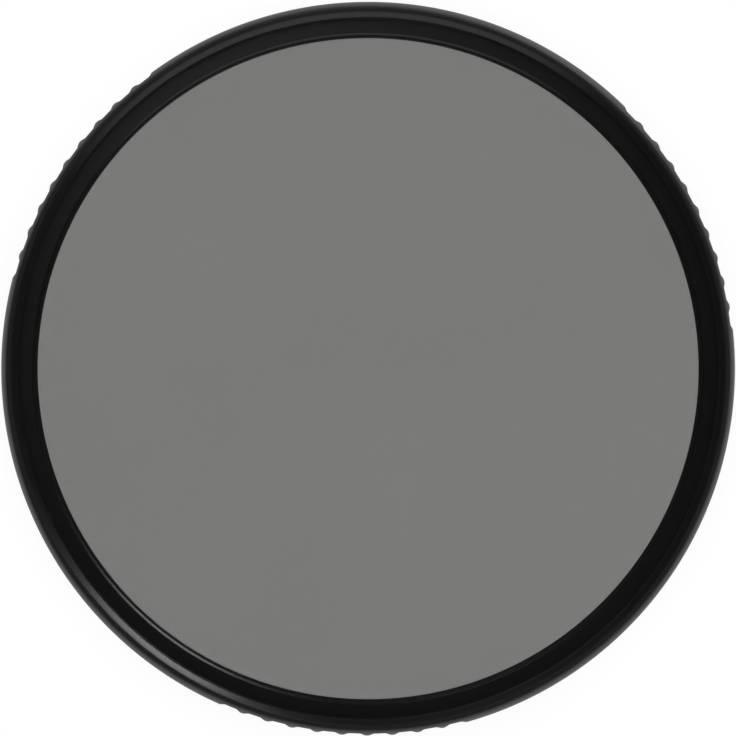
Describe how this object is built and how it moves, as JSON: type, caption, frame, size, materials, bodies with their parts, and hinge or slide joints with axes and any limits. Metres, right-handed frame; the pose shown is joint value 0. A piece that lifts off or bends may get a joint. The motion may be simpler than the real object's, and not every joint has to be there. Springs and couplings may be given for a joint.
{
  "type": "screw-in lens filter",
  "caption": "Round grey glass filter in a black threaded ring with grip zones on its rim, screwed onto the front of a camera lens.",
  "frame": {"origin": "on the optical axis at the rear end, the face that the filter lies on", "axes": "+Z along the optical axis, out of the front of the filter, and one grip zone centred on -Y"},
  "size_m": [0.08, 0.08, 0.0072],
  "materials": {
    "frame_black": "satin black anodised, turned inside and blasted on the rim",
    "grey_glass": "polished, neutral grey, coated",
    "ring_black": "matt black anodised, turned"
  },
  "bodies": {
    "root": {"filter_frame": "frame_black", "filter_glass": "grey_glass", "retaining_ring": "ring_black"}
  },
  "joints": []
}
